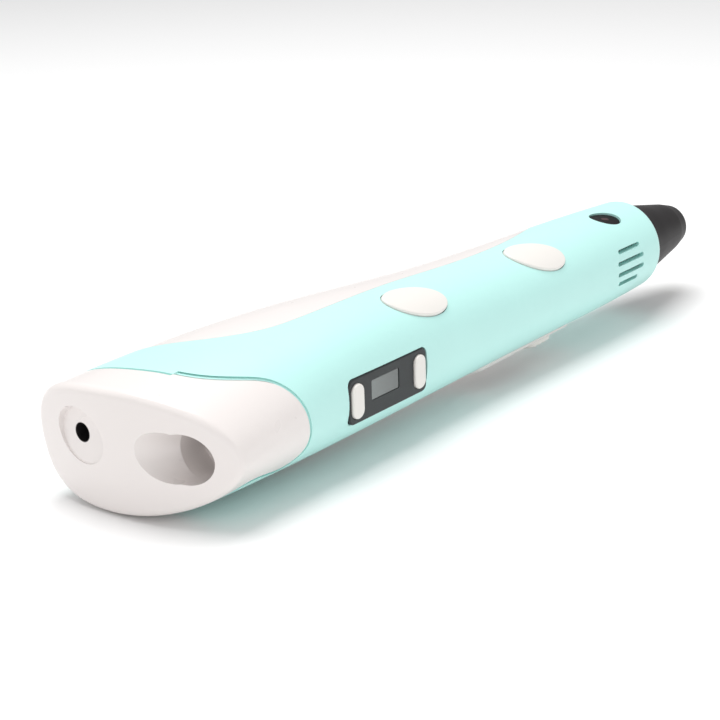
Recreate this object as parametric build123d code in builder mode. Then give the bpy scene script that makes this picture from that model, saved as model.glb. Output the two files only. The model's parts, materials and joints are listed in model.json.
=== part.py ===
from build123d import *
from collections import namedtuple
from math import cos, pi, radians, sin, tan
import os

os.makedirs("parts", exist_ok=True)

# Handheld extruder pen, millimetres. The origin is the centre of the nozzle's tip face, +X runs
# along the nozzle axis towards the tail, +Y is the display side and +Z is the button side.

# ---------------------------------------------------------------- driving dimensions
WALL = 1.8  # thickness of the moulded shells
SEAM = 0.06  # gap between neighbouring shells
GROOVE = (0.6, 0.35)  # width and depth of the open groove along the seam of the tail cap
TAIL_X = 183.1  # furthest point of the domed tail face, at the height of the nozzle axis
TAIL_APEX_Y = -13.8
TAIL_RADIUS = 44.4  # plan radius of the tail face on the display side
TAIL_LEAN = 0.13  # the tail face leans back by this much for each millimetre upwards
TAIL_WALL = 2.6
MOUTH_R = 9.4  # front opening of the shell, which the nose cone plugs into
MOUTH_X = 25.4
MOUTH_ROUND = 3.0

INLET = Vector(176.0, -15.6, -1.1)  # filament inlet in the tail face
INLET_R = 1.8
INLET_DISH_R = 5.5
PORT_Y, PORT_Z = 6.2, -2.5  # pocket of the power socket in the tail face
PORT_R = 5.0
PORT_WALL = 1.5
PORT_FLOOR_X = 168.5
PORT_RAMP_X = 174.2  # the ramp on the inlet side starts here
PORT_RAMP_SLOPE = 0.55
DISH_X = 182.0

BUTTON_NORMAL = Vector(-0.02873, 0.62, 0.784).normalized()
BUTTON_HALF = (8.1, 3.9)  # half axes of the two oval push buttons
FEED_BUTTON = Vector(73.0, 7.2, 9.4)
FEED_TWIST = -22.0
RETRACT_BUTTON = Vector(115.4, 7.9, 10.4)
RETRACT_TWIST = -16.0
BUTTON_FIT = 0.15

PANEL = Vector(131.4, 13.85, -1.3)  # centre of the display panel's outer face
PANEL_SIZE = (24.2, 8.9)
PANEL_THICK = 1.2
WINDOW_CENTRE = (-1.0, 0.7)  # from the panel centre, towards the nose and upwards
WINDOW_SIZE = (8.6, 4.0)
KEY_X = 9.7  # the two panel keys sit this far either side of the centre
KEY_SIZE = (3.4, 6.9)

LATCH = Vector(41.2, 4.4, 10.2)
LATCH_HALF = (4.1, 2.3)
LATCH_TWIST = -24.0

SLIDER_ROLL = 20.0  # degrees from the bottom centre line towards the display side
SLIDER_X = (58.0, 94.0)
SLIDER_KNOB_X = 69.5
SLIDER_FACE_R = 12.25  # from the nozzle axis to the slider plate's face, at its middle
SLIDER_SLOPE = 0.032  # the belly drops by this much for each millimetre towards the tail
SLIDER_HALF_WIDTH = 3.0

VENT_WIDTH = 1.0
VENTS = ((4.1, 36.2, 45.6), (1.6, 35.2, 46.6), (-0.9, 35.2, 46.6), (-3.2, 37.4, 45.9))

# Hooks of the side cover: where along the pen, and the lowest and highest point of the tab.
COVER_HOOKS = ((66.0, 7.6, 8.9), (94.0, 8.0, 9.3), (128.0, 8.9, 10.1), (148.0, 8.7, 9.9))

CONE_END_X = 4.2
CONE_BASE_R = 9.25
NOZZLE_TIP_R = 1.9
LEAD_Z = (-1.3, 1.3)  # height of the two heater leads where they cross the nozzle holder
CONE_TIP_R = 4.7
CONE_HOLE_R = 3.1
FILAMENT_BORE_R = 1.05

# The filament runs straight from the inlet to a point on the nozzle axis, and the drive lies
# along that line: u points from the filament to the feed screw, s counts from the nozzle end.
LINE_END = Vector(60.0, 0.0, 0.0)
SCREW_R = 2.6
SCREW_OFFSET = 3.4
GEAR_MODULE = 0.35
SCREW_TEETH = 11
PINION_TEETH = 16
PINION_TURN = -30.0  # direction from the screw axis to the motor axis, in degrees
MOTOR_R = 5.0
BLOCK_S = (20.0, 34.5)
PLATE_S = (34.6, 36.0)
GEAR_S = (37.2, 39.4)
GEARBOX_S = (41.0, 53.0)
MOTOR_S = (53.1, 70.0)
BEARING_R = 2.5
BEARING_U = -3.38
BEARING_S = 28.0

GEAR_BORE_R = 0.75
BLOCK_SCREWS = ((-5.6, 2.3), (-5.6, -2.3))
GEARBOX_SCREW_R = 4.15  # from the motor axis
SHANK_R = 0.5
SHANK_HOLE_R = 0.55
HEAD_R = 1.0

MAIN_BOARD_X = (98.0, 151.0)
MAIN_BOARD_Y = (7.0, 8.2)
MAIN_BOARD_Z = (-6.0, 2.6)
BUTTON_BOARD_DEPTH = 5.9  # below the tangent plane through the two push buttons
BOARD_SCREW_X = (114.6, 148.6)
BOARD_SCREW_Z = -4.2
POT_DEPTH = (4.0, 6.0)
SLIDER_SLOT = 26.0

# The outer skin, as stations along the pen: the outermost point on each of the four sides as
# (y, z), and how full the corners are on the cover side and on the display side.
Station = namedtuple("Station", "x left top right bottom fullness")
STATIONS = [
    Station(MOUTH_X, (-10.3, 0.0), (0.3, 10.6), (10.7, 0.0), (0.0, -10.3), (0.55, 0.55, 0.55, 0.55)),
    Station(34.0, (-10.7, 0.0), (0.5, 11.0), (11.2, -0.1), (0.0, -10.7), (0.55, 0.55, 0.55, 0.55)),
    Station(56.0, (-12.0, 0.0), (0.2, 11.4), (11.9, -0.1), (0.0, -11.3), (0.56, 0.56, 0.56, 0.58)),
    Station(84.0, (-14.0, -0.2), (0.0, 11.5), (12.4, -0.1), (-0.9, -12.2), (0.58, 0.56, 0.56, 0.6)),
    Station(109.0, (-17.1, -0.7), (0.0, 12.2), (13.1, -0.6), (-2.0, -12.7), (0.62, 0.58, 0.58, 0.66)),
    Station(132.0, (-20.9, -1.4), (-1.1, 13.0), (14.1, -0.8), (-4.2, -13.3), (0.65, 0.6, 0.6, 0.7)),
    Station(156.0, (-25.2, -2.7), (-3.2, 12.2), (14.8, -1.5), (-8.1, -15.2), (0.7, 0.61, 0.56, 0.6)),
    Station(179.0, (-28.1, -4.5), (-5.2, 9.7), (15.5, -2.6), (-12.9, -16.4), (0.78, 0.65, 0.52, 0.48)),
    Station(190.0, (-29.0, -5.2), (-6.0, 8.6), (15.8, -3.0), (-14.8, -16.9), (0.8, 0.66, 0.52, 0.48)),
]


def skin_section(station, inset):
    """Outline across the pen at one station, drawn inset from the outer skin."""
    left = Vector(station.left[0] + inset, station.left[1])
    top = Vector(station.top[0], station.top[1] - inset)
    right = Vector(station.right[0] - inset, station.right[1])
    bottom = Vector(station.bottom[0], station.bottom[1] + inset)
    left_up, left_flat, right_flat, right_up = station.fullness
    corners = [
        (left, top, left_up, left_flat),
        (right, top, right_up, right_flat),
        (right, bottom, right_up, right_flat),
        (left, bottom, left_up, left_flat),
    ]
    with BuildSketch(Plane.YZ.offset(station.x)) as section:
        with BuildLine():
            for side, crown, upright, flat in corners:
                rise = Vector(0, (crown.Y - side.Y) * upright)
                run = Vector((side.X - crown.X) * flat, 0)
                Bezier(side, side + rise, crown + run, crown)
        make_face()
    return section.sketch


def tail_face_x(y):
    """How far back the tail face reaches at y, at the height of the nozzle axis."""
    radius = TAIL_RADIUS if y > TAIL_APEX_Y else 2.25 * TAIL_RADIUS
    return TAIL_X - (y - TAIL_APEX_Y) ** 2 / (2 * radius)


def behind_tail(depth):
    """Everything behind a surface that follows the tail face, depth millimetres inside it."""
    low = -25.0
    shift = TAIL_LEAN * low - depth
    stops = [-40.0, -26.0, TAIL_APEX_Y, -2.0, 10.0, 24.0]
    with BuildPart() as space:
        with BuildSketch(Plane.XY.offset(low)):
            with BuildLine():
                face = Spline([(tail_face_x(y) + shift, y) for y in stops])
                Polyline(face @ 1, (230, 24), (230, -40), face @ 0)
            make_face()
        extrude(amount=50, dir=(TAIL_LEAN, 0, 1))
    return space.part


def skin_solid(inset, first, tail_depth):
    """Solid inside the skin, from a station to the tail face, both set back as asked."""
    with BuildPart() as solid:
        loft([skin_section(station, inset) for station in STATIONS[first:]])
        add(behind_tail(tail_depth), mode=Mode.SUBTRACT)
    return solid.part


def grown(points, gap):
    """An open run of points moved sideways by gap, to the right of the way it runs."""
    last = len(points) - 1
    moved = []
    for index, point in enumerate(points):
        before = Vector(*points[max(index - 1, 0)])
        after = Vector(*points[min(index + 1, last)])
        along = (after - before).normalized()
        moved.append((point[0] + gap * along.Y, point[1] - gap * along.X))
    return moved


def tail_cap_space(gap):
    """The space that the tail cap takes out of the skin, grown by gap."""
    tongue = [
        (173.3, 10.4),
        (169.6, 9.3),
        (163.7, 8.2),
        (159.4, 6.8),
        (156.3, 3.0),
        (155.0, -1.8),
        (155.6, -6.6),
        (158.6, -8.9),
        (164.0, -8.5),
        (170.0, -8.5),
        (173.3, -11.5),
    ]
    brow = [(173.3, -1.0), (175.1, -9.4), (176.2, -18.0), (177.0, -34.0)]
    with BuildPart() as space:
        with BuildSketch(Plane.XZ.offset(1)):
            with BuildLine():
                edge = Spline(grown(tongue, gap))
                back = 173.3 - gap
                Polyline(edge @ 1, (back, -30), (230, -30), (230, 30), (back, 30), edge @ 0)
            make_face()
        extrude(amount=-50)
        with BuildSketch(Plane.XY.offset(-30)):
            with BuildLine():
                edge = Spline([(x - gap, y) for x, y in brow])
                Polyline(edge @ 1, (230, -34), (230, -1), edge @ 0)
            make_face()
        extrude(amount=60)
    return space.part


def side_cover_space(gap):
    """The lens-shaped space that the side cover takes out of the skin, grown by gap."""
    edge_points = [
        (168.6, -30.0),
        (166.3, -20.0),
        (163.4, -13.1),
        (157.9, -5.1),
        (150.6, -0.4),
        (141.4, 1.1),
        (127.0, 1.0),
        (112.0, 0.2),
        (98.0, 0.2),
        (84.0, 0.3),
        (72.0, -0.6),
        (62.0, -3.0),
        (53.0, -7.4),
        (47.5, -14.0),
    ]
    with BuildPart() as space:
        with BuildSketch(Plane.XY.offset(-30)):
            with BuildLine():
                edge = Spline(grown(edge_points, gap))
                Polyline(edge @ 1, (47.5 - gap, -40), (168.6 + gap, -40), edge @ 0)
            make_face()
        extrude(amount=60)
    return space.part


def export(part, label):
    """Name one finished sub-part and write its STEP file."""
    part.label = label
    export_step(part, f"parts/{label}.step")


def button_plane(centre):
    """Plane tangent to the shoulder at a push button, its x axis running along the pen."""
    along = Vector(1, 0, 0) - BUTTON_NORMAL * BUTTON_NORMAL.X
    return Plane(origin=centre, x_dir=along, z_dir=BUTTON_NORMAL)


def below(plane, depth):
    """The plane moved inwards by depth."""
    return plane.offset(-depth)


# ---------------------------------------------------------------- shared solids
with BuildPart() as body:
    add(skin_solid(0.0, 0, 0.0))
    fillet(body.faces().sort_by(Axis.X)[-1].edges(), radius=1.6)
    fillet(body.faces().sort_by(Axis.X)[0].edges(), radius=MOUTH_ROUND)
cavity = skin_solid(WALL, 1, TAIL_WALL)
button_top = skin_solid(-0.5, 0, 0.0)
latch_top = skin_solid(0.45, 0, 0.0)
inner_limit = skin_solid(WALL + 0.2, 1, TAIL_WALL + 0.2)
mid_wall = skin_solid(WALL / 2, 0, TAIL_WALL / 2)

# ---------------------------------------------------------------- working planes
panel_plane = Plane(origin=PANEL, x_dir=(-1, -0.037, 0), z_dir=(-0.037, 1, 0))
latch_plane = Plane(origin=LATCH, x_dir=(1, 0, 0), z_dir=(0, 0.39, 0.92))
feed_plane = button_plane(FEED_BUTTON)
retract_plane = button_plane(RETRACT_BUTTON)
roll = radians(SLIDER_ROLL)
slider_mid = (SLIDER_X[0] + SLIDER_X[1]) / 2
belly_plane = Plane(
    origin=(slider_mid, SLIDER_FACE_R * sin(roll), -SLIDER_FACE_R * cos(roll)),
    x_dir=(1, SLIDER_SLOPE * sin(roll), -SLIDER_SLOPE * cos(roll)),
    z_dir=(-SLIDER_SLOPE, sin(roll), -cos(roll)),
)
belly_axis = Axis(belly_plane.origin, belly_plane.z_dir)
line = (INLET - LINE_END).normalized()
sideways = Vector(0, cos(radians(-12)), sin(radians(-12)))
drive = Plane(origin=LINE_END, x_dir=sideways - line * line.dot(sideways), z_dir=line)
gear_distance = GEAR_MODULE * (SCREW_TEETH + PINION_TEETH) / 2
MOTOR_U = SCREW_OFFSET + gear_distance * cos(radians(PINION_TURN))
MOTOR_V = gear_distance * sin(radians(PINION_TURN))
lean = radians(74)
screw_reach = (GEARBOX_SCREW_R * cos(lean), GEARBOX_SCREW_R * sin(lean))
GEARBOX_SCREWS = (
    (MOTOR_U + screw_reach[0], MOTOR_V + screw_reach[1]),
    (MOTOR_U - screw_reach[0], MOTOR_V - screw_reach[1]),
)

# ---------------------------------------------------------------- casing
with BuildPart() as cap_groove:
    add(tail_cap_space(GROOVE[0]))
    add(skin_solid(GROOVE[1], 0, 0.0), mode=Mode.SUBTRACT)

with BuildPart() as screw_bosses:
    for boss_x in BOARD_SCREW_X:
        with BuildSketch(Plane.XZ.offset(-MAIN_BOARD_Y[1] - 0.05)):
            with Locations((boss_x, BOARD_SCREW_Z)):
                Circle(1.9)
                Circle(0.7, mode=Mode.SUBTRACT)
        extrude(amount=-8)
    add(mid_wall, mode=Mode.INTERSECT)

with BuildPart() as cradle:
    for rib_x in (108.0, 126.0):
        with BuildSketch(Plane.YZ.offset(rib_x)):
            with Locations((5.0, -9.0)):
                Rectangle(8.0, 8.0)
        extrude(amount=1.6)
    with BuildSketch(drive.offset(GEARBOX_S[0])):
        with Locations((MOTOR_U, MOTOR_V)):
            Circle(MOTOR_R + 0.1)
    extrude(amount=40, mode=Mode.SUBTRACT)
    with Locations(((MAIN_BOARD_X[0] + MAIN_BOARD_X[1]) / 2, 7.6, -1.7)):
        Box(70, 1.8, 9.2, mode=Mode.SUBTRACT)
    add(mid_wall, mode=Mode.INTERSECT)

with BuildPart() as main_shell:
    add(body.part)
    add(cavity, mode=Mode.SUBTRACT)
    with BuildSketch(Plane.YZ.offset(20)):
        Circle(MOUTH_R)
    extrude(amount=13, mode=Mode.SUBTRACT)
    with BuildSketch(Plane.YZ.offset(33)):
        Circle(MOUTH_R + 0.3)
    extrude(amount=1.6, mode=Mode.SUBTRACT)
    add(screw_bosses.part)
    add(cradle.part)
    add(tail_cap_space(SEAM), mode=Mode.SUBTRACT)
    add(cap_groove.part, mode=Mode.SUBTRACT)
    add(side_cover_space(SEAM), mode=Mode.SUBTRACT)
    for plane, twist in ((feed_plane, FEED_TWIST), (retract_plane, RETRACT_TWIST)):
        with BuildSketch(below(plane, 4)):
            with Locations(Rotation(0, 0, twist)):
                Ellipse(BUTTON_HALF[0] + BUTTON_FIT, BUTTON_HALF[1] + BUTTON_FIT)
        extrude(amount=8, mode=Mode.SUBTRACT)
    with BuildSketch(below(latch_plane, 3)):
        with Locations(Rotation(0, 0, LATCH_TWIST)):
            Ellipse(LATCH_HALF[0] + 0.2, LATCH_HALF[1] + 0.2)
    extrude(amount=6, mode=Mode.SUBTRACT)
    with BuildSketch(below(panel_plane, PANEL_THICK)):
        RectangleRounded(PANEL_SIZE[0] + 0.3, PANEL_SIZE[1] + 0.3, 1.5)
    extrude(amount=5, mode=Mode.SUBTRACT)
    with BuildSketch(below(panel_plane, 6)):
        RectangleRounded(PANEL_SIZE[0] - 0.6, PANEL_SIZE[1] - 0.8, 1.2)
    extrude(amount=6, mode=Mode.SUBTRACT)
    for level, start, end in VENTS:
        with BuildSketch(Plane.XZ):
            with Locations(((start + end) / 2, level)):
                SlotOverall(end - start, VENT_WIDTH)
        extrude(amount=20, both=True, mode=Mode.SUBTRACT)
    with BuildSketch(below(belly_plane, 8)):
        RectangleRounded(SLIDER_X[1] - SLIDER_X[0] + 0.2, 2 * SLIDER_HALF_WIDTH + 0.2, 2.6)
    extrude(amount=12, mode=Mode.SUBTRACT)

with BuildPart() as hook_roots:
    for hook_x, low, high in COVER_HOOKS:
        with Locations((hook_x, -3.4, low)):
            Box(4.4, 2.2, 6, align=(Align.CENTER, Align.CENTER, Align.MIN))
    add(mid_wall, mode=Mode.INTERSECT)

with BuildPart() as side_cover:
    add(body.part)
    add(cavity, mode=Mode.SUBTRACT)
    add(side_cover_space(0.0), mode=Mode.INTERSECT)
    # Hooks that reach under the main shell, on the roots that join them to the wall.
    for hook_x, low, high in COVER_HOOKS:
        with Locations((hook_x, -1.2, (low + high) / 2)):
            Box(4.4, 6.6, high - low)
    add(hook_roots.part)

with BuildPart() as tail_bosses:
    with BuildSketch(Plane.YZ.offset(PORT_FLOOR_X - 1.4)):
        with Locations((PORT_Y, PORT_Z)):
            Circle(PORT_R + PORT_WALL)
    extrude(amount=14)
    # The pocket's wall follows the ramp, so the ramp stays closed off from the inside.
    with BuildSketch(Plane.YZ.offset(PORT_RAMP_X)):
        with Locations((PORT_Y, PORT_Z)):
            Circle(PORT_R + PORT_WALL)
    extrude(amount=9, dir=(1, -PORT_RAMP_SLOPE, 0))
    with BuildSketch(Plane.YZ.offset(172)):
        with Locations((INLET.Y, INLET.Z)):
            Circle(INLET_R + 1.8)
    extrude(amount=10)
    add(mid_wall, mode=Mode.INTERSECT)

with BuildPart() as rear_cap:
    add(body.part)
    add(cavity, mode=Mode.SUBTRACT)
    add(tail_bosses.part)
    add(tail_cap_space(0.0), mode=Mode.INTERSECT)
    # Power pocket: a straight bore, its side towards the inlet ramped open, and the jack's opening.
    with BuildSketch(Plane.YZ.offset(PORT_FLOOR_X)):
        with Locations((PORT_Y, PORT_Z)):
            Circle(PORT_R)
    extrude(amount=20, mode=Mode.SUBTRACT)
    with BuildSketch(Plane.YZ.offset(PORT_RAMP_X)):
        with Locations((PORT_Y, PORT_Z)):
            Circle(PORT_R)
    extrude(amount=16, dir=(1, -PORT_RAMP_SLOPE, 0), mode=Mode.SUBTRACT)
    with BuildSketch(Plane.YZ.offset(PORT_FLOOR_X - 3)):
        with Locations((PORT_Y, PORT_Z)):
            Circle(3.9)
    extrude(amount=5, mode=Mode.SUBTRACT)
    # Filament inlet: a shallow flat-bottomed dish and the guide hole.
    with BuildSketch(Plane.YZ.offset(DISH_X)):
        with Locations((INLET.Y + 0.3, INLET.Z - 0.4)):
            Circle(INLET_DISH_R)
    extrude(amount=8, taper=-14, mode=Mode.SUBTRACT)
    with BuildSketch(Plane.YZ.offset(170)):
        with Locations((INLET.Y, INLET.Z)):
            Circle(INLET_R)
    extrude(amount=20, mode=Mode.SUBTRACT)

with BuildPart() as nose_cone:
    with BuildSketch(Plane.XY):
        with BuildLine():
            Polyline(
                (CONE_END_X, CONE_HOLE_R),
                (CONE_END_X, CONE_TIP_R),
                (9.0, 6.0),
                (26.2, CONE_BASE_R),
                (34.2, CONE_BASE_R),
                (34.2, 8.2),
                (25.0, 8.0),
                (9.5, 4.7),
                (7.0, CONE_HOLE_R),
                close=True,
            )
        make_face()
        tip = vertices().filter_by_position(Axis.X, 4, 5).sort_by(Axis.Y)[-1]
        fillet(tip, radius=1.3)
    revolve(axis=Axis.X)

# ---------------------------------------------------------------- release latch of the nose
with BuildPart() as latch_pad:
    with BuildSketch(below(latch_plane, 2.2)):
        with Locations(Rotation(0, 0, LATCH_TWIST)):
            Ellipse(*LATCH_HALF)
    extrude(amount=4)
    add(latch_top, mode=Mode.INTERSECT)

with BuildPart() as nose_latch:
    with BuildSketch(Plane.YZ.offset(36.4)):
        Circle(9.1)
        Circle(8.3, mode=Mode.SUBTRACT)
    extrude(amount=11)
    with BuildSketch(below(latch_plane, 5)):
        RectangleRounded(10.6, 6.6, 1.5)
    extrude(amount=8, mode=Mode.INTERSECT)
    add(latch_pad.part)

with BuildPart() as latch_mark:
    with BuildSketch(below(latch_plane, 0.9)):
        with Locations(Rotation(0, 0, LATCH_TWIST)):
            SlotOverall(2.0, 0.9)
    extrude(amount=0.75)
    add(nose_latch.part, mode=Mode.SUBTRACT)


# ---------------------------------------------------------------- push buttons
def button_flange(plane, twist):
    """Rim under a push button, trimmed to the inside of the shell."""
    with BuildPart() as flange:
        with BuildSketch(below(plane, 3.6)):
            with Locations(Rotation(0, 0, twist)):
                Ellipse(BUTTON_HALF[0] + 0.9, BUTTON_HALF[1] + 0.9)
        extrude(amount=4)
        add(inner_limit, mode=Mode.INTERSECT)
    return flange.part


def push_button(plane, twist):
    """Oval cap that follows the skin, with a flange that keeps it in the shell."""
    flange = button_flange(plane, twist)
    with BuildPart() as button:
        with BuildSketch(below(plane, 3.6)):
            with Locations(Rotation(0, 0, twist)):
                Ellipse(*BUTTON_HALF)
        extrude(amount=6)
        add(button_top, mode=Mode.INTERSECT)
        fillet(button.faces().sort_by(Axis(plane.origin, plane.z_dir))[-1].edges(), radius=0.35)
        add(flange)
    return button.part


def plunger(plane, centre, radius, top, bottom):
    """Round switch plunger between two depths below a plane."""
    with BuildPart() as pin:
        with BuildSketch(below(plane, bottom)):
            with Locations(centre):
                Circle(radius)
        extrude(amount=bottom - top)
    return pin.part


def button_switch(plane):
    """Square tactile switch on the button board, open in the middle for its plunger."""
    with BuildPart() as switch:
        with BuildSketch(below(plane, BUTTON_BOARD_DEPTH - 0.02)):
            RectangleRounded(4.6, 4.6, 0.4)
            Circle(1.3, mode=Mode.SUBTRACT)
        extrude(amount=1.45)
    return switch.part


feed_button = push_button(feed_plane, FEED_TWIST)
retract_button = push_button(retract_plane, RETRACT_TWIST)
feed_plunger = plunger(feed_plane, (0, 0), 1.2, 3.62, 5.2)
retract_plunger = plunger(retract_plane, (0, 0), 1.2, 3.62, 5.2)
feed_switch = button_switch(feed_plane)
retract_switch = button_switch(retract_plane)

button_mid = Plane(origin=(FEED_BUTTON + RETRACT_BUTTON) / 2, x_dir=feed_plane.x_dir, z_dir=BUTTON_NORMAL)
with BuildPart() as button_board:
    with BuildSketch(below(button_mid, BUTTON_BOARD_DEPTH + 1.0)):
        with Locations((0, -0.3)):
            RectangleRounded(60, 6.8, 0.8)
        with Locations((-26.5, -0.3), (0, -0.3), (28.3, -0.3)):
            Circle(0.8, mode=Mode.SUBTRACT)
    extrude(amount=1.0)

# ---------------------------------------------------------------- display panel
key_centres = {"temp_up": (KEY_X, 0), "temp_down": (-KEY_X, 0)}
with BuildPart() as display_bezel:
    with BuildSketch(below(panel_plane, PANEL_THICK - 0.02)):
        RectangleRounded(*PANEL_SIZE, 1.4)
        with Locations(WINDOW_CENTRE):
            RectangleRounded(*WINDOW_SIZE, 0.3, mode=Mode.SUBTRACT)
        with Locations(*key_centres.values()):
            RectangleRounded(KEY_SIZE[0] + 0.2, KEY_SIZE[1] + 0.2, KEY_SIZE[0] / 2, mode=Mode.SUBTRACT)
    extrude(amount=PANEL_THICK - 0.02)
    chamfer(display_bezel.faces().sort_by(Axis.Y)[-1].outer_wire().edges(), length=0.2)

with BuildPart() as display_window:
    with BuildSketch(below(panel_plane, 0.9)):
        with Locations(WINDOW_CENTRE):
            RectangleRounded(WINDOW_SIZE[0] - 0.06, WINDOW_SIZE[1] - 0.06, 0.27)
    extrude(amount=0.75)

with BuildPart() as lcd_module:
    with BuildSketch(below(panel_plane, 4.2)):
        with Locations((WINDOW_CENTRE[0], 0)):
            RectangleRounded(12.4, 7.4, 0.5)
    extrude(amount=2.9)
    with BuildSketch(Plane.XZ.offset(-MAIN_BOARD_Y[1] - 0.02)):
        with Locations((PANEL.X - WINDOW_CENTRE[0], PANEL.Z)):
            with GridLocations(2.0, 6.0, 5, 2):
                Circle(0.3)
    extrude(amount=-2.5)


def panel_key(centre):
    """Pill-shaped key with a narrow flange behind the bezel."""
    with BuildPart() as key:
        with BuildSketch(below(panel_plane, 2.1)):
            with Locations(centre):
                RectangleRounded(KEY_SIZE[0], KEY_SIZE[1], KEY_SIZE[0] / 2 - 0.01)
        extrude(amount=2.65)
        fillet(key.faces().sort_by(Axis.Y)[-1].edges(), radius=0.4)
        with BuildSketch(below(panel_plane, 2.1)):
            with Locations(centre):
                RectangleRounded(KEY_SIZE[0] + 0.6, KEY_SIZE[1] + 0.6, KEY_SIZE[0] / 2)
        extrude(amount=0.8)
    return key.part


with BuildPart() as panel_switches:
    for centre in key_centres.values():
        switch_at = panel_plane.from_local_coords((*centre, -3.4))
        with BuildSketch(Plane.XZ.offset(-MAIN_BOARD_Y[1] - 0.02)):
            with Locations((switch_at.X, switch_at.Z)):
                RectangleRounded(4.2, 4.2, 0.4)
                Circle(1.2, mode=Mode.SUBTRACT)
        extrude(amount=-2.55)

# ---------------------------------------------------------------- speed slider
with BuildPart() as slider_rim:
    with BuildSketch(below(belly_plane, 3.8)):
        RectangleRounded(SLIDER_X[1] - SLIDER_X[0] + 2.4, 2 * SLIDER_HALF_WIDTH + 2.2, 2.6)
    extrude(amount=3.0)
    add(inner_limit, mode=Mode.INTERSECT)

with BuildPart() as slider_plate:
    with BuildSketch(below(belly_plane, 4.0)):
        RectangleRounded(SLIDER_X[1] - SLIDER_X[0], 2 * SLIDER_HALF_WIDTH, 2.5)
    extrude(amount=4.0)
    chamfer(slider_plate.faces().sort_by(belly_axis)[-1].edges(), length=0.25)
    add(slider_rim.part)
    with BuildSketch(below(belly_plane, 3.8)):
        RectangleRounded(SLIDER_X[1] - SLIDER_X[0] - 4, 2 * SLIDER_HALF_WIDTH - 1.6, 1.2)
    extrude(amount=2.6, mode=Mode.SUBTRACT)
    with BuildSketch(below(belly_plane, 5.0)):
        SlotOverall(SLIDER_SLOT, 2.2)
    extrude(amount=6.0, mode=Mode.SUBTRACT)
    split(bisect_by=below(belly_plane, 3.8), keep=Keep.TOP)

knob_at = (SLIDER_KNOB_X - slider_mid, 0)
with BuildPart() as speed_slider_knob:
    with BuildSketch(belly_plane.offset(0.06)):
        with Locations(knob_at):
            RectangleRounded(7.6, 4.6, 1.3)
    extrude(amount=0.8)
    fillet(speed_slider_knob.faces().sort_by(belly_axis)[-1].edges(), radius=0.3)
    for ridge in (-1.8, 0.0, 1.8):
        with BuildSketch(belly_plane.offset(0.8)):
            with Locations((knob_at[0] + ridge, 0)):
                SlotOverall(3.4, 0.7, rotation=90)
        extrude(amount=0.35)
    with BuildSketch(below(belly_plane, POT_DEPTH[0] + 1.2)):
        with Locations(knob_at):
            Rectangle(3.0, 1.2)
    extrude(amount=POT_DEPTH[0] + 1.4)

with BuildPart() as slide_potentiometer:
    with BuildSketch(below(belly_plane, POT_DEPTH[1])):
        Rectangle(34, 5.0)
    extrude(amount=POT_DEPTH[1] - POT_DEPTH[0])
    with BuildSketch(below(belly_plane, POT_DEPTH[1] - 0.4)):
        Rectangle(SLIDER_SLOT, 1.6)
    extrude(amount=3, mode=Mode.SUBTRACT)

# ---------------------------------------------------------------- hot end
def turned(profile):
    """Solid turned about the nozzle axis from (x, radius) points."""
    with BuildPart() as piece:
        with BuildSketch(Plane.XY):
            with BuildLine():
                Polyline(*profile, close=True)
            make_face()
        revolve(axis=Axis.X)
    return piece.part


def sleeve(start, end, outer, inner):
    """Plain sleeve about the nozzle axis."""
    return turned([(start, inner), (start, outer), (end, outer), (end, inner)])


nozzle = turned(
    [
        (0, 0.35),
        (0, 1.6),
        (0.3, NOZZLE_TIP_R),
        (2.6, NOZZLE_TIP_R),
        (4.4, 2.85),
        (8.0, 2.85),
        (8.0, 2.0),
        (13.5, 2.0),
        (13.5, FILAMENT_BORE_R),
        (2.8, FILAMENT_BORE_R),
        (2.0, 0.35),
    ]
)
heater_barrel = turned(
    [
        (8.05, 2.05),
        (8.05, 3.1),
        (30.0, 3.1),
        (30.0, FILAMENT_BORE_R),
        (13.6, FILAMENT_BORE_R),
        (13.6, 2.05),
    ]
)
heater_winding = sleeve(11.0, 25.0, 3.8, 3.15)
insulation_sleeve = sleeve(10.6, 26.0, 4.4, 3.85)
heat_break = sleeve(30.05, 44.4, 2.0, FILAMENT_BORE_R)

with BuildPart() as thermistor:
    with BuildSketch(Plane.YZ.offset(27.2)):
        with Locations((0, 3.75)):
            Circle(0.6)
    extrude(amount=2.2)
    fillet(thermistor.edges(), radius=0.25)

with BuildPart() as nozzle_holder:
    with BuildSketch(Plane.YZ.offset(39.5)):
        Circle(7.2)
        with PolarLocations(0, 3, start_angle=105, angular_range=360):
            with Locations((4.5, 0)):
                Rectangle(9.1, 3.2)
        Circle(2.05, mode=Mode.SUBTRACT)
        with Locations(*[(5.0, z) for z in LEAD_Z]):
            Circle(0.7, mode=Mode.SUBTRACT)
    extrude(amount=6)


# ---------------------------------------------------------------- filament path
with BuildPart() as filament_guide_tube:
    with BuildSketch(drive.offset(GEARBOX_S[0] - 0.4)):
        Circle(1.6)
        Circle(FILAMENT_BORE_R, mode=Mode.SUBTRACT)
    extrude(amount=75.6)

with BuildPart() as liner_tube:
    with BuildLine() as liner_path:
        liner_start = (drive * Pos(0, 0, BLOCK_S[0] - 0.05)).position
        FilletPolyline(liner_start, LINE_END, (44.45, 0, 0), radius=100)
    with BuildSketch(Plane(origin=liner_start, z_dir=-line)):
        Circle(1.6)
        Circle(FILAMENT_BORE_R, mode=Mode.SUBTRACT)
    sweep()


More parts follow.
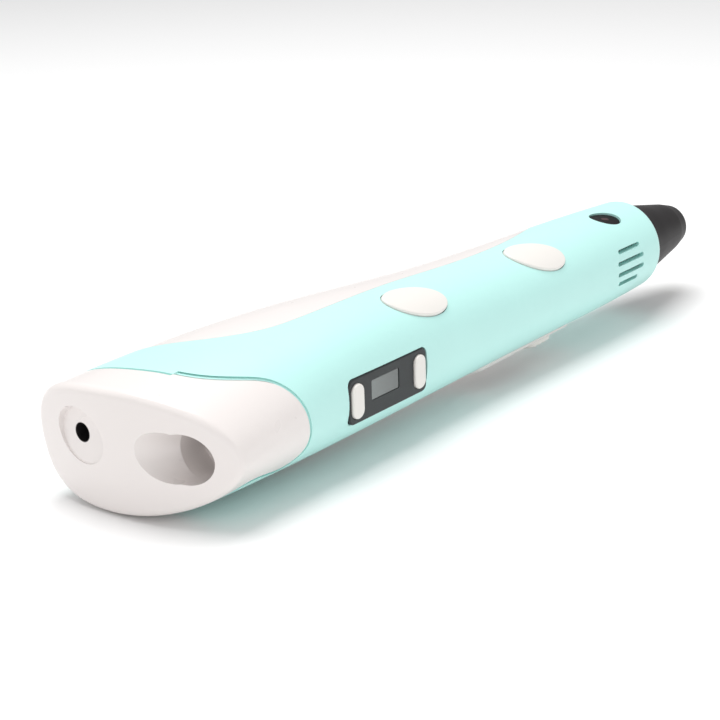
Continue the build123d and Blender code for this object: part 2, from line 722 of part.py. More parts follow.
# ---------------------------------------------------------------- feed drive
def gear(centre, teeth, turn):
    """Spur gear with straight-sided teeth, thinned for backlash."""
    pitch = GEAR_MODULE * teeth / 2
    tip = pitch + 0.85 * GEAR_MODULE
    root = pitch - 1.15 * GEAR_MODULE
    half_root = 0.8 * GEAR_MODULE / root
    half_tip = 0.28 * GEAR_MODULE / tip
    outline = []
    for tooth in range(teeth):
        angle = radians(turn) + 2 * pi * tooth / teeth
        for radius, swing in ((root, -half_root), (tip, -half_tip), (tip, half_tip), (root, half_root)):
            outline.append((radius * cos(angle + swing), radius * sin(angle + swing)))
    middle = drive.from_local_coords((*centre, GEAR_S[0]))
    with BuildPart() as wheel:
        with BuildSketch(Plane(origin=middle, x_dir=drive.x_dir, z_dir=line)):
            with BuildLine():
                Polyline(*outline, close=True)
            make_face()
            Circle(GEAR_BORE_R, mode=Mode.SUBTRACT)
        extrude(amount=GEAR_S[1] - GEAR_S[0])
    return wheel.part


def shaft(centre, radius, start, end):
    """Plain round shaft along the drive."""
    with BuildPart() as rod:
        with BuildSketch(drive.offset(start)):
            with Locations(centre):
                Circle(radius)
        extrude(amount=end - start)
    return rod.part


screw_at = (SCREW_OFFSET, 0)
motor_at = (MOTOR_U, MOTOR_V)
feed_gear = gear(screw_at, SCREW_TEETH, PINION_TURN)
pinion_turn = PINION_TURN + 180 + 180 / PINION_TEETH
drive_pinion = gear(motor_at, PINION_TEETH, pinion_turn)
gearbox_shaft = shaft(motor_at, GEAR_BORE_R, GEAR_S[0] - 0.2, GEARBOX_S[0] + 5)

with BuildPart() as feed_screw:
    add(shaft(screw_at, GEAR_BORE_R, BLOCK_S[0] + 0.2, GEAR_S[1] + 0.2))
    add(shaft(screw_at, SCREW_R, BLOCK_S[0] + 2.2, PLATE_S[0] - 0.6))
    thread_starts = [BLOCK_S[0] + 3.0 + 0.9 * turn for turn in range(12)]
    for start in thread_starts:
        with BuildSketch(drive.offset(start)):
            with Locations(screw_at):
                Circle(SCREW_R + 0.1)
                Circle(SCREW_R - 0.3, mode=Mode.SUBTRACT)
        extrude(amount=0.4, mode=Mode.SUBTRACT)

with BuildPart() as feed_block:
    with BuildSketch(drive.offset(BLOCK_S[0])):
        with Locations((0, 0)):
            RectangleRounded(13.2, 6.8, 1.0)
        Circle(FILAMENT_BORE_R, mode=Mode.SUBTRACT)
        with Locations(screw_at):
            Circle(GEAR_BORE_R + 0.05, mode=Mode.SUBTRACT)
        with Locations(*BLOCK_SCREWS):
            Circle(SHANK_HOLE_R, mode=Mode.SUBTRACT)
    extrude(amount=BLOCK_S[1] - BLOCK_S[0])
    with BuildSketch(drive.offset(BLOCK_S[0] + 1.6)):
        with Locations(screw_at):
            Circle(SCREW_R + 0.15)
    extrude(amount=20, mode=Mode.SUBTRACT)
    with BuildSketch(drive.offset(BEARING_S - BEARING_R - 0.2)):
        with Locations((-3.7, 0)):
            Rectangle(6.2, 3.0)
    extrude(amount=2 * BEARING_R + 0.4, mode=Mode.SUBTRACT)
    with BuildSketch(Plane(origin=drive.origin, x_dir=drive.x_dir, z_dir=drive.y_dir)):
        with Locations((BEARING_U, -BEARING_S)):
            Circle(0.75)
    extrude(amount=10, both=True, mode=Mode.SUBTRACT)

with BuildPart() as bearing_plate:
    with BuildSketch(drive.offset(PLATE_S[0])):
        RectangleRounded(13.2, 6.8, 1.0)
        Circle(FILAMENT_BORE_R, mode=Mode.SUBTRACT)
        with Locations(screw_at):
            Circle(GEAR_BORE_R + 0.05, mode=Mode.SUBTRACT)
        with Locations(*BLOCK_SCREWS):
            Circle(SHANK_HOLE_R, mode=Mode.SUBTRACT)
    extrude(amount=PLATE_S[1] - PLATE_S[0])

across = Plane(origin=drive.origin, x_dir=drive.x_dir, z_dir=drive.y_dir)
with BuildPart() as idler_bearing:
    with BuildSketch(across.offset(-1.25)):
        with Locations((BEARING_U, -BEARING_S)):
            Circle(BEARING_R)
            Circle(0.78, mode=Mode.SUBTRACT)
    extrude(amount=2.5)
    chamfer(idler_bearing.edges().filter_by(GeomType.CIRCLE).group_by(SortBy.RADIUS)[-1], length=0.25)

with BuildPart() as idler_pin:
    with BuildSketch(across.offset(-3.3)):
        with Locations((BEARING_U, -BEARING_S)):
            Circle(0.74)
    extrude(amount=6.6)

with BuildPart() as gear_bracket:
    with BuildSketch(drive.offset(PLATE_S[1] + 0.05)):
        with Locations((2.6, -0.9)):
            RectangleRounded(18.4, 8.6, 1.2)
        with Locations((GEARBOX_SCREWS[1][0], -5.2)):
            RectangleRounded(3.2, 4.4, 1.0)
        Circle(1.3, mode=Mode.SUBTRACT)
        with Locations(screw_at):
            Circle(1.3, mode=Mode.SUBTRACT)
        with Locations(*BLOCK_SCREWS, *GEARBOX_SCREWS):
            Circle(SHANK_HOLE_R, mode=Mode.SUBTRACT)
    extrude(amount=0.8)
    with BuildSketch(drive.offset(PLATE_S[1] + 0.05)):
        with Locations(*GEARBOX_SCREWS):
            Circle(0.95)
            Circle(SHANK_HOLE_R, mode=Mode.SUBTRACT)
    extrude(amount=GEARBOX_S[0] - PLATE_S[1] - 0.1)

with BuildPart() as gearbox_housing:
    with BuildSketch(drive.offset(GEARBOX_S[0])):
        with Locations(motor_at):
            Circle(MOTOR_R)
    extrude(amount=GEARBOX_S[1] - GEARBOX_S[0])
    with BuildSketch(drive.offset(GEARBOX_S[0] - 0.6)):
        with Locations(motor_at):
            Circle(1.9)
    extrude(amount=1.0)
    with BuildSketch(drive.offset(GEARBOX_S[0] - 1)):
        with Locations(motor_at):
            Circle(GEAR_BORE_R + 0.05)
    extrude(amount=6.4, mode=Mode.SUBTRACT)
    with BuildSketch(drive.offset(GEARBOX_S[0] - 1)):
        with Locations(*GEARBOX_SCREWS):
            Circle(SHANK_HOLE_R)
    extrude(amount=3.2, mode=Mode.SUBTRACT)

with BuildPart() as motor_can:
    with BuildSketch(drive.offset(MOTOR_S[0])):
        with Locations(motor_at):
            Circle(MOTOR_R)
            Rectangle(2 * MOTOR_R, 8.4, mode=Mode.INTERSECT)
    extrude(amount=MOTOR_S[1] - MOTOR_S[0])

with BuildPart() as motor_end_cap:
    with BuildSketch(drive.offset(MOTOR_S[1] + 0.05)):
        with Locations(motor_at):
            Circle(MOTOR_R - 0.3)
            Rectangle(2 * MOTOR_R, 7.8, mode=Mode.INTERSECT)
    extrude(amount=2.0)
    with BuildSketch(drive.offset(MOTOR_S[1] + 2)):
        with Locations(motor_at):
            Circle(1.4)
    extrude(amount=0.8)

with BuildPart() as tube_clip:
    with BuildSketch(drive.offset(57)):
        Circle(2.5)
        with Locations(motor_at):
            Circle(MOTOR_R + 0.8)
        with Locations((2.4, -0.7)):
            Rectangle(3.0, 2.0)
        with Locations(motor_at):
            Circle(MOTOR_R + 0.02, mode=Mode.SUBTRACT)
        Circle(1.62, mode=Mode.SUBTRACT)
    extrude(amount=3)


# ---------------------------------------------------------------- screws
def screw(plane, centre, length):
    """Pan-head screw whose head stands on the plane and whose shank goes below it."""
    with BuildPart() as fastener:
        with BuildSketch(plane):
            with Locations(centre):
                Circle(HEAD_R)
        extrude(amount=0.7)
        with BuildSketch(plane.offset(0.7)):
            with Locations(centre):
                Rectangle(1.4, 0.25)
                Rectangle(0.25, 1.4)
        extrude(amount=-0.35, mode=Mode.SUBTRACT)
        with BuildSketch(plane):
            with Locations(centre):
                Circle(SHANK_R)
        extrude(amount=-length)
    return fastener.part


block_front = Plane(origin=drive.offset(BLOCK_S[0] - 0.05).origin, x_dir=drive.x_dir, z_dir=-line)
bracket_front = Plane(origin=drive.offset(PLATE_S[1]).origin, x_dir=drive.x_dir, z_dir=-line)
with BuildPart() as drive_screws:
    for u, v in BLOCK_SCREWS:
        add(screw(block_front, (u, -v), 16.6))
    for u, v in GEARBOX_SCREWS:
        add(screw(bracket_front, (u, -v), 6.8))

# ---------------------------------------------------------------- boards and power
with BuildPart() as main_board:
    with BuildSketch(Plane.XZ.offset(-MAIN_BOARD_Y[1])):
        with Locations(((MAIN_BOARD_X[0] + MAIN_BOARD_X[1]) / 2, (MAIN_BOARD_Z[0] + MAIN_BOARD_Z[1]) / 2)):
            RectangleRounded(MAIN_BOARD_X[1] - MAIN_BOARD_X[0], MAIN_BOARD_Z[1] - MAIN_BOARD_Z[0], 0.6)
        with Locations(*[(x, BOARD_SCREW_Z) for x in BOARD_SCREW_X]):
            Circle(0.8, mode=Mode.SUBTRACT)
    extrude(amount=MAIN_BOARD_Y[1] - MAIN_BOARD_Y[0])

board_inner = Plane(origin=(0, MAIN_BOARD_Y[0] - 0.02, 0), x_dir=(1, 0, 0), z_dir=(0, -1, 0))
with BuildPart() as board_screws:
    for x in BOARD_SCREW_X:
        add(screw(board_inner, (x, BOARD_SCREW_Z), 3.6))

with BuildPart() as control_chip:
    with BuildSketch(board_inner):
        with Locations((122, -1.6)):
            RectangleRounded(6.6, 6.0, 0.3)
    extrude(amount=1.1)

with BuildPart() as filter_capacitor:
    with BuildSketch(board_inner):
        with Locations((144.6, -0.6)):
            Circle(2.4)
    extrude(amount=5.2)
    fillet(filter_capacitor.faces().sort_by(Axis.Y)[0].edges(), radius=0.4)

with BuildPart() as power_coil:
    with BuildSketch(board_inner):
        with Locations((130.2, -1.6)):
            RectangleRounded(5.4, 5.4, 0.8)
    extrude(amount=2.2)

with BuildPart() as dc_jack:
    with BuildSketch(Plane.YZ.offset(MAIN_BOARD_X[1] + 0.4)):
        with Locations((PORT_Y, PORT_Z)):
            RectangleRounded(9.0, 9.6, 0.6)
    extrude(amount=PORT_FLOOR_X - 1.45 - MAIN_BOARD_X[1] - 0.4)
    with BuildSketch(Plane.YZ.offset(PORT_FLOOR_X - 1.5)):
        with Locations((PORT_Y, PORT_Z)):
            Circle(3.8)
    extrude(amount=1.2)
    with BuildSketch(Plane.YZ.offset(MAIN_BOARD_X[1] + 4)):
        with Locations((PORT_Y, PORT_Z)):
            Circle(2.95)
    extrude(amount=20, mode=Mode.SUBTRACT)

with BuildPart() as dc_jack_pin:
    with BuildSketch(Plane.YZ.offset(MAIN_BOARD_X[1] + 4.02)):
        with Locations((PORT_Y, PORT_Z)):
            Circle(1.0)
    extrude(amount=PORT_FLOOR_X - MAIN_BOARD_X[1] - 6)
    fillet(dc_jack_pin.faces().sort_by(Axis.X)[-1].edges(), radius=0.4)


# ---------------------------------------------------------------- internal wires
def bend_radii(points):
    """Radius of each corner: its arc takes 0.45 of the shorter run beside it."""
    corners = [Vector(*point) for point in points]
    radii = []
    for before, corner, after in zip(corners, corners[1:], corners[2:]):
        shorter = min((corner - before).length, (after - corner).length)
        turn = radians((corner - before).get_angle(after - corner))
        radii.append(0.45 * shorter / tan(turn / 2))
    return radii


def wire_run(points, radii, radius):
    """Insulated wire along straight runs joined by tangent arcs."""
    with BuildPart() as wire:
        with BuildLine() as path:
            FilletPolyline(*points, radius=radii)
        with BuildSketch(Plane(origin=path.line @ 0, z_dir=path.line % 0)):
            Circle(radius)
        sweep()
    return wire.part


with BuildPart() as heater_leads:
    for lead_z in LEAD_Z:
        drop = 0.35 * lead_z
        route = [
            (26.05, 4.1, 0.6 * lead_z),
            (33.0, 4.8, 0.9 * lead_z),
            (50.0, 5.1, lead_z),
            (66.0, 6.6, lead_z - 0.6 - drop),
            (82.0, 7.3, lead_z - 1.1),
            (97.95, 7.6, lead_z - 1.2),
        ]
        radii = bend_radii(route)
        add(wire_run(route, radii, 0.42))
        print("heater lead bend radii, mm:", [round(bend, 1) for bend in radii])

parts = {
    "main_shell": main_shell.part,
    "side_cover": side_cover.part,
    "rear_cap": rear_cap.part,
    "nose_cone": nose_cone.part,
    "nose_latch": nose_latch.part,
    "latch_mark": latch_mark.part,
    "feed_button": feed_button,
    "retract_button": retract_button,
    "feed_plunger": feed_plunger,
    "retract_plunger": retract_plunger,
    "feed_switch": feed_switch,
    "retract_switch": retract_switch,
    "button_board": button_board.part,
    "display_bezel": display_bezel.part,
    "display_window": display_window.part,
    "lcd_module": lcd_module.part,
    "temp_up_key": panel_key(key_centres["temp_up"]),
    "temp_down_key": panel_key(key_centres["temp_down"]),
    "temp_up_plunger": plunger(panel_plane, key_centres["temp_up"], 1.0, 2.12, 3.9),
    "temp_down_plunger": plunger(panel_plane, key_centres["temp_down"], 1.0, 2.12, 3.9),
    "panel_switches": panel_switches.part,
    "slider_plate": slider_plate.part,
    "speed_slider_knob": speed_slider_knob.part,
    "slide_potentiometer": slide_potentiometer.part,
    "nozzle": nozzle,
    "heater_barrel": heater_barrel,
    "heater_winding": heater_winding,
    "insulation_sleeve": insulation_sleeve,
    "heat_break": heat_break,
    "thermistor": thermistor.part,
    "nozzle_holder": nozzle_holder.part,
    "filament_guide_tube": filament_guide_tube.part,
    "liner_tube": liner_tube.part,
    "feed_gear": feed_gear,
    "drive_pinion": drive_pinion,
    "gearbox_shaft": gearbox_shaft,
    "feed_screw": feed_screw.part,
    "feed_block": feed_block.part,
    "bearing_plate": bearing_plate.part,
    "idler_bearing": idler_bearing.part,
    "idler_pin": idler_pin.part,
    "gear_bracket": gear_bracket.part,
    "gearbox_housing": gearbox_housing.part,
    "motor_can": motor_can.part,
    "motor_end_cap": motor_end_cap.part,
    "tube_clip": tube_clip.part,
    "drive_screws": drive_screws.part,
    "main_board": main_board.part,
    "board_screws": board_screws.part,
    "control_chip": control_chip.part,
    "filter_capacitor": filter_capacitor.part,
    "power_coil": power_coil.part,
    "dc_jack": dc_jack.part,
    "dc_jack_pin": dc_jack_pin.part,
    "heater_leads": heater_leads.part,
}
for label, piece in parts.items():
    export(piece, label)
print(len(parts), "nodes written")
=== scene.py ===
import json

import bpy
from mathutils import Matrix, Vector


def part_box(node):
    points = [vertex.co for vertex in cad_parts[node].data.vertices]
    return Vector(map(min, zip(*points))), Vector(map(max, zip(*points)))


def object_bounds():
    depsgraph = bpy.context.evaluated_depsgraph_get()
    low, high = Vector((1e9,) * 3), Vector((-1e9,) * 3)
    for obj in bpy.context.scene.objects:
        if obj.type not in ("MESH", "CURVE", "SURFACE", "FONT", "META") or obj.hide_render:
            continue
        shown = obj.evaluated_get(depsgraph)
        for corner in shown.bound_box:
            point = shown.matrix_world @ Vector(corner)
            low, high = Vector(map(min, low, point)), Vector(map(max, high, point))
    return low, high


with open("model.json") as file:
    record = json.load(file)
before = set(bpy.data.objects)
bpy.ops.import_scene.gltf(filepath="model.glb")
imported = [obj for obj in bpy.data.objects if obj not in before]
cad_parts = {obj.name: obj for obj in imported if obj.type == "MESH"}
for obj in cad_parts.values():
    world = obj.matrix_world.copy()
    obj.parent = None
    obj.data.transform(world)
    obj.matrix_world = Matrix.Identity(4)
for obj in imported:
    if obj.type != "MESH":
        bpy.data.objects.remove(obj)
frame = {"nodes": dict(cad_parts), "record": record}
cad_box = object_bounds()
nodes = frame["nodes"]
scene = bpy.context.scene

MM = 0.001

# The filament inlet's bore has painted shade: a near-black colour stands in for the shade inside
# it, with a soft edge outside its wall and past its inner end.
BORE_PAINTED_SHADE_COLOUR = (0.02, 0.018, 0.018)
BORE_EDGE = (1.02, 1.08)  # where the soft edge starts and ends, in bore radii
BORE_FADE = 1.0 * MM

# Scales of the repeating textures, in the units of their own nodes.
YARN_SCALE = 900.0
BRAID_ANGLE = 0.7  # radians
TRACK_SCALE = 420.0
TRACK_WIDTH = 0.012
WINDING_SCALE = 320.0
WINDING_DISTORTION = 0.4

FLOOR_GAP = 0.3 * MM  # the floor lies this far below the lowest point of the pen
FLOOR_SIZE = 6.0
FLOOR_CENTRE = (0.1, 0.0)

SKY_STRENGTH = 0.58
LIT_POINT = Vector((0.11, 0.0, 0.0))  # every softbox faces this point inside the pen
SOFTBOX_SIZE = 0.5
SOFTBOXES = {  # name: place and power
    "overhead": ((0.12, -0.10, 0.75), 5.0),
    "tail_fill": ((0.75, 0.15, 0.30), 0.45),
    "display_fill": ((0.05, 0.75, 0.25), 0.45),
}

CAMERA_PLACE = Vector((0.367697, 0.209744, 0.111324))
CAMERA_RIGHT = Vector((-0.64272, 0.76545, -0.03153))
CAMERA_UP = Vector((-0.27187, -0.18941, 0.94351))
LENS_MM = 86.32
SENSOR_WIDTH_MM = 36.0
NEAR_CLIP = 0.01


# ---------------------------------------------------------------- node helpers
class Shader:
    """A Principled material with short helpers for its procedural detail."""

    def __init__(self, name, colour, roughness, metallic=0.0, specular=0.5,
                 coat=0.0, coat_roughness=0.1):
        self.material = bpy.data.materials.new(name)
        self.material.use_nodes = True
        self.tree = self.material.node_tree
        self.surface = self.tree.nodes["Principled BSDF"]
        self.surface.inputs["Base Color"].default_value = (*colour, 1.0)
        self.surface.inputs["Roughness"].default_value = roughness
        self.surface.inputs["Metallic"].default_value = metallic
        self.surface.inputs["Specular IOR Level"].default_value = specular
        self.surface.inputs["Coat Weight"].default_value = coat
        self.surface.inputs["Coat Roughness"].default_value = coat_roughness
        self.place = self.tree.nodes.new("ShaderNodeTexCoord").outputs["Object"]
        self.colour = colour
        self.roughness = roughness

    def stretched(self, scale):
        """Object coordinates scaled along each axis."""
        mapping = self.tree.nodes.new("ShaderNodeMapping")
        mapping.inputs["Scale"].default_value = scale
        self.tree.links.new(self.place, mapping.inputs["Vector"])
        return mapping.outputs["Vector"]

    def noise(self, size, detail=3.0, place=None):
        """Noise whose features are about size metres across."""
        texture = self.tree.nodes.new("ShaderNodeTexNoise")
        texture.inputs["Scale"].default_value = 1.0 / size
        texture.inputs["Detail"].default_value = detail
        self.tree.links.new(place or self.place, texture.inputs["Vector"])
        return texture.outputs["Fac"]

    def between(self, value, low, high, start, end):
        """Turn a value that runs from start to end into one that runs from low to high."""
        remap = self.tree.nodes.new("ShaderNodeMapRange")
        remap.inputs["From Min"].default_value = start
        remap.inputs["From Max"].default_value = end
        remap.inputs["To Min"].default_value = low
        remap.inputs["To Max"].default_value = high
        self.tree.links.new(value, remap.inputs["Value"])
        return remap.outputs["Result"]

    def mixed(self, value, first, second):
        """Mix two colours by a value; either may be the output of another node."""
        mix = self.tree.nodes.new("ShaderNodeMix")
        mix.data_type = "RGBA"
        self.tree.links.new(value, mix.inputs["Factor"])
        for side, colour in (("A", first), ("B", second)):
            target = next(s for s in mix.inputs if s.name == side and s.type == "RGBA")
            if isinstance(colour, bpy.types.NodeSocket):
                self.tree.links.new(colour, target)
            else:
                target.default_value = (*colour, 1.0)
        return next(s for s in mix.outputs if s.type == "RGBA")

    def mottle(self, size, darker):
        """Slightly uneven colour, in patches about size metres across."""
        deep = [channel * (1.0 - darker) for channel in self.colour]
        return self.paint(self.mixed(self.noise(size, detail=1.0), self.colour, deep))

    def paint(self, colour):
        """Take the base colour from another node's output."""
        self.tree.links.new(colour, self.surface.inputs["Base Color"])
        return self

    def uneven_gloss(self, size, spread):
        """Roughness that wanders either side of its middle value, as handling leaves it."""
        smooth, rough = self.roughness - spread, self.roughness + spread
        level = self.between(self.noise(size, detail=2.0), smooth, rough, start=0.1, end=0.9)
        self.tree.links.new(level, self.surface.inputs["Roughness"])
        return self

    def bump(self, height, depth, strength=1.0):
        """Raise the surface by a 0 to 1 height times depth metres, over any bump already there."""
        node = self.tree.nodes.new("ShaderNodeBump")
        node.inputs["Strength"].default_value = strength
        node.inputs["Distance"].default_value = depth
        self.tree.links.new(height, node.inputs["Height"])
        normal = self.surface.inputs["Normal"]
        if normal.is_linked:
            self.tree.links.new(normal.links[0].from_socket, node.inputs["Normal"])
        self.tree.links.new(node.outputs["Normal"], normal)
        return self


def lighter(colour, gain, lift=0.0):
    """A paler version of a colour."""
    return [min(1.0, channel * gain + lift) for channel in colour]


# ---------------------------------------------------------------- kinds of material
def moulded(name, colour, roughness, grain=0.006, coat=0.0, darker=0.04, specular=0.5):
    """Injection-moulded plastic, faintly mottled, with uneven gloss; grain is in millimetres."""
    shader = Shader(name, colour, roughness, specular=specular, coat=coat, coat_roughness=0.12)
    shader.mottle(size=14 * MM, darker=darker).uneven_gloss(size=6 * MM, spread=0.05)
    shader.bump(shader.noise(size=0.22 * MM, detail=2.0), depth=grain * MM)
    return shader


def casing_white(name, colour):
    """Glossy white moulding, with painted shade (a near-black colour) inside the filament inlet's
    bore.
    """
    shader = moulded(name, colour, roughness=0.30, grain=0.003, coat=0.35, darker=0.02)
    inlet = next(mount for mount in frame["record"]["mounts"] if mount["name"] == "filament_inlet")
    # Object coordinates moved onto the bore's axis, with the distance along it dropped.
    off_axis = shader.tree.nodes.new("ShaderNodeMapping")
    off_axis.inputs["Location"].default_value = (0.0, -inlet["pos_m"][1], -inlet["pos_m"][2])
    off_axis.inputs["Scale"].default_value = (0.0, 1.0, 1.0)
    shader.tree.links.new(shader.place, off_axis.inputs["Vector"])
    distance = shader.tree.nodes.new("ShaderNodeVectorMath")
    distance.operation = "LENGTH"
    shader.tree.links.new(off_axis.outputs["Vector"], distance.inputs[0])
    bore = inlet["dims"]["r_mm"] * MM
    edge_start, edge_end = (bore * radii for radii in BORE_EDGE)
    beside = shader.between(distance.outputs["Value"], 0.0, 1.0, edge_start, edge_end)
    # The side cover crosses the same axis further forward, so the painted shade stops with the
    # bore.
    axes = shader.tree.nodes.new("ShaderNodeSeparateXYZ")
    shader.tree.links.new(shader.place, axes.inputs["Vector"])
    inner_end = inlet["pos_m"][0] - inlet["dims"]["length_mm"] * MM
    ahead = shader.between(axes.outputs["X"], 1.0, 0.0, inner_end - BORE_FADE, inner_end)
    outside = shader.tree.nodes.new("ShaderNodeMath")
    outside.operation = "MAXIMUM"
    shader.tree.links.new(beside, outside.inputs[0])
    shader.tree.links.new(ahead, outside.inputs[1])
    white = shader.surface.inputs["Base Color"].links[0].from_socket
    # Painted shade: the bore's wall takes a near-black colour in place of the shade that falls
    # inside it.
    return shader.paint(shader.mixed(outside.outputs["Value"], BORE_PAINTED_SHADE_COLOUR, white))


def turned_metal(name, colour, roughness):
    """Lathe-turned metal: noise drawn out across the pen's axis becomes fine rings round it."""
    shader = Shader(name, colour, roughness, metallic=1.0)
    rings = shader.noise(size=0.25 * MM, detail=4.0, place=shader.stretched((1.0, 0.04, 0.04)))
    shader.bump(rings, depth=0.006 * MM)
    shader.mottle(size=3 * MM, darker=0.12).uneven_gloss(size=1.2 * MM, spread=0.08)
    return shader


def woven(name, colour):
    """Braided glass sleeve: two crossing sets of yarn."""
    shader = Shader(name, colour, roughness=0.85, specular=0.3)
    for turn in (BRAID_ANGLE, -BRAID_ANGLE):
        mapping = shader.tree.nodes.new("ShaderNodeMapping")
        mapping.inputs["Rotation"].default_value = (0.0, turn, turn)
        shader.tree.links.new(shader.place, mapping.inputs["Vector"])
        yarn = shader.tree.nodes.new("ShaderNodeTexWave")
        yarn.inputs["Scale"].default_value = YARN_SCALE
        shader.tree.links.new(mapping.outputs["Vector"], yarn.inputs["Vector"])
        shader.bump(yarn.outputs["Fac"], depth=0.08 * MM, strength=0.7)
    shader.mottle(size=1.5 * MM, darker=0.2)
    return shader


def circuit_board(name, colour):
    """Solder mask over copper tracks, which show as slightly raised, lighter bands."""
    shader = Shader(name, colour, roughness=0.35, coat=0.4)
    tracks = shader.tree.nodes.new("ShaderNodeTexBrick")
    tracks.inputs["Scale"].default_value = TRACK_SCALE
    tracks.inputs["Mortar Size"].default_value = TRACK_WIDTH
    shader.tree.links.new(shader.place, tracks.inputs["Vector"])
    over_copper = lighter(colour, gain=1.9, lift=0.01)
    shader.paint(shader.mixed(tracks.outputs["Fac"], colour, over_copper))
    shader.bump(tracks.outputs["Fac"], depth=0.03 * MM)
    shader.bump(shader.noise(size=0.3 * MM), depth=0.01 * MM)
    return shader


def wound_wire(name, colour):
    """Resistance wire wound side by side round the heater barrel."""
    shader = Shader(name, colour, roughness=0.4, metallic=1.0)
    turns = shader.tree.nodes.new("ShaderNodeTexWave")
    turns.bands_direction = "X"
    turns.wave_profile = "SIN"
    turns.inputs["Scale"].default_value = WINDING_SCALE
    turns.inputs["Distortion"].default_value = WINDING_DISTORTION
    shader.tree.links.new(shader.place, turns.inputs["Vector"])
    shader.bump(turns.outputs["Fac"], depth=0.25 * MM).mottle(size=1 * MM, darker=0.3)
    return shader


def display_glass(name, colour):
    """Switched-off liquid crystal window: grey-green, paler towards the tail."""
    shader = Shader(name, colour, roughness=0.12, coat=1.0, coat_roughness=0.03)
    low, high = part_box("display_window")
    axes = shader.tree.nodes.new("ShaderNodeSeparateXYZ")
    shader.tree.links.new(shader.place, axes.inputs["Vector"])
    along = shader.between(axes.outputs["X"], 0.0, 1.0, low[0], high[0])
    shader.paint(shader.mixed(along, colour, lighter(colour, gain=2.2)))
    cells = shader.noise(size=0.12 * MM, detail=1.0)
    shader.bump(cells, depth=0.002 * MM, strength=0.4).uneven_gloss(size=2 * MM, spread=0.03)
    return shader


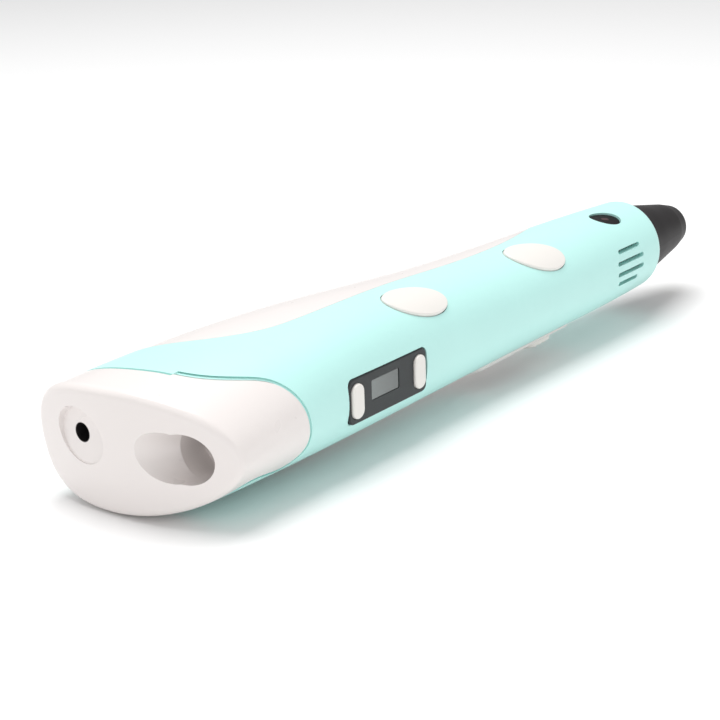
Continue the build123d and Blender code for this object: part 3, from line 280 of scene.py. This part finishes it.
# ---------------------------------------------------------------- materials, one for each slot
# A builder takes the slot's name, the base colour and, where that kind varies, the roughness.
MATERIALS = {
    "turquoise_shell": lambda n: moulded(n, (0.53, 0.87, 0.825), 0.42, grain=0.008, coat=0.1),
    "white_shell": lambda n: casing_white(n, (0.82, 0.77, 0.75)),
    "white_keys": lambda n: moulded(
        n, (0.83, 0.80, 0.76), 0.33, grain=0.004, coat=0.25, darker=0.03),
    "black_nose": lambda n: moulded(
        n, (0.009, 0.0065, 0.0075), 0.45, grain=0.006, darker=0.3, specular=0.2),
    "red_mark": lambda n: moulded(n, (0.060, 0.028, 0.030), 0.5),
    "bezel_black": lambda n: moulded(
        n, (0.028, 0.032, 0.034), 0.40, grain=0.004, darker=0.2, specular=0.35),
    "lcd_glass": lambda n: display_glass(n, (0.060, 0.070, 0.068)),
    "lcd_body": lambda n: moulded(n, (0.18, 0.20, 0.20), 0.4),
    "board_green": lambda n: circuit_board(n, (0.012, 0.12, 0.05)),
    "chip_black": lambda n: moulded(n, (0.02, 0.02, 0.02), 0.6, grain=0.02),
    "switch_black": lambda n: moulded(n, (0.03, 0.03, 0.03), 0.5, grain=0.01),
    "plunger": lambda n: moulded(n, (0.62, 0.58, 0.50), 0.5),
    "brass_nozzle": lambda n: turned_metal(n, (0.62, 0.42, 0.16), 0.30),
    "steel": lambda n: turned_metal(n, (0.55, 0.55, 0.56), 0.30),
    "ceramic_body": lambda n: moulded(n, (0.78, 0.75, 0.68), 0.55, grain=0.03),
    "copper_winding": lambda n: wound_wire(n, (0.45, 0.36, 0.30)),
    "glass_sleeve": lambda n: woven(n, (0.72, 0.67, 0.55)),
    "ptfe": lambda n: moulded(n, (0.84, 0.84, 0.81), 0.38, grain=0.004, coat=0.1),
    "acetal": lambda n: moulded(n, (0.78, 0.76, 0.68), 0.38, grain=0.003),
    "holder_black": lambda n: moulded(n, (0.03, 0.03, 0.03), 0.48, grain=0.012),
    "gear_brass": lambda n: turned_metal(n, (0.60, 0.42, 0.18), 0.34),
    "motor_steel": lambda n: turned_metal(n, (0.52, 0.52, 0.52), 0.36),
    "motor_end": lambda n: moulded(n, (0.05, 0.05, 0.05), 0.5),
    "screw_zinc": lambda n: turned_metal(n, (0.62, 0.62, 0.65), 0.26),
    "capacitor_can": lambda n: turned_metal(n, (0.22, 0.25, 0.34), 0.30),
    "ferrite": lambda n: moulded(n, (0.05, 0.05, 0.055), 0.6, grain=0.03),
    "jack_black": lambda n: moulded(n, (0.025, 0.025, 0.025), 0.42, grain=0.006),
    "wire_red": lambda n: moulded(n, (0.42, 0.02, 0.015), 0.5, grain=0.004),
}

made = {slot: build(slot).material for slot, build in MATERIALS.items()}
for piece in frame["record"]["subparts"]:
    node = nodes[piece["node"]]
    node.data.materials.clear()
    node.data.materials.append(made[piece["material_slot"]])

# ---------------------------------------------------------------- floor
lowest = cad_box[0][2]
bpy.ops.mesh.primitive_plane_add(size=FLOOR_SIZE, location=(*FLOOR_CENTRE, lowest - FLOOR_GAP))
floor = bpy.context.object
floor.name = "floor"
paper = Shader("floor_paper", (0.93, 0.93, 0.93), roughness=0.7, specular=0.2)
paper.bump(paper.noise(size=1.5 * MM), depth=0.02 * MM)
floor.data.materials.append(paper.material)

# ---------------------------------------------------------------- light
world = bpy.data.worlds.new("studio")
scene.world = world
world.use_nodes = True
sky = world.node_tree.nodes["Background"]
sky.inputs["Color"].default_value = (1.0, 1.0, 1.0, 1.0)
sky.inputs["Strength"].default_value = SKY_STRENGTH

for name, (place, power) in SOFTBOXES.items():
    softbox = bpy.data.lights.new(name, "AREA")
    softbox.size = SOFTBOX_SIZE
    softbox.energy = power
    lamp = bpy.data.objects.new(name, softbox)
    lamp.location = place
    lamp.rotation_euler = (LIT_POINT - Vector(place)).to_track_quat("-Z", "Y").to_euler()
    scene.collection.objects.link(lamp)

# ---------------------------------------------------------------- camera
camera_data = bpy.data.cameras.new("camera")
camera_data.lens = LENS_MM
camera_data.sensor_width = SENSOR_WIDTH_MM
camera_data.clip_start = NEAR_CLIP
camera = bpy.data.objects.new("camera", camera_data)
scene.collection.objects.link(camera)
camera_axes = Matrix((CAMERA_RIGHT, CAMERA_UP, CAMERA_RIGHT.cross(CAMERA_UP))).transposed()
camera.matrix_world = Matrix.Translation(CAMERA_PLACE) @ camera_axes.to_4x4()
scene.camera = camera

scene.view_settings.view_transform = "Standard"
scene.view_settings.look = "None"
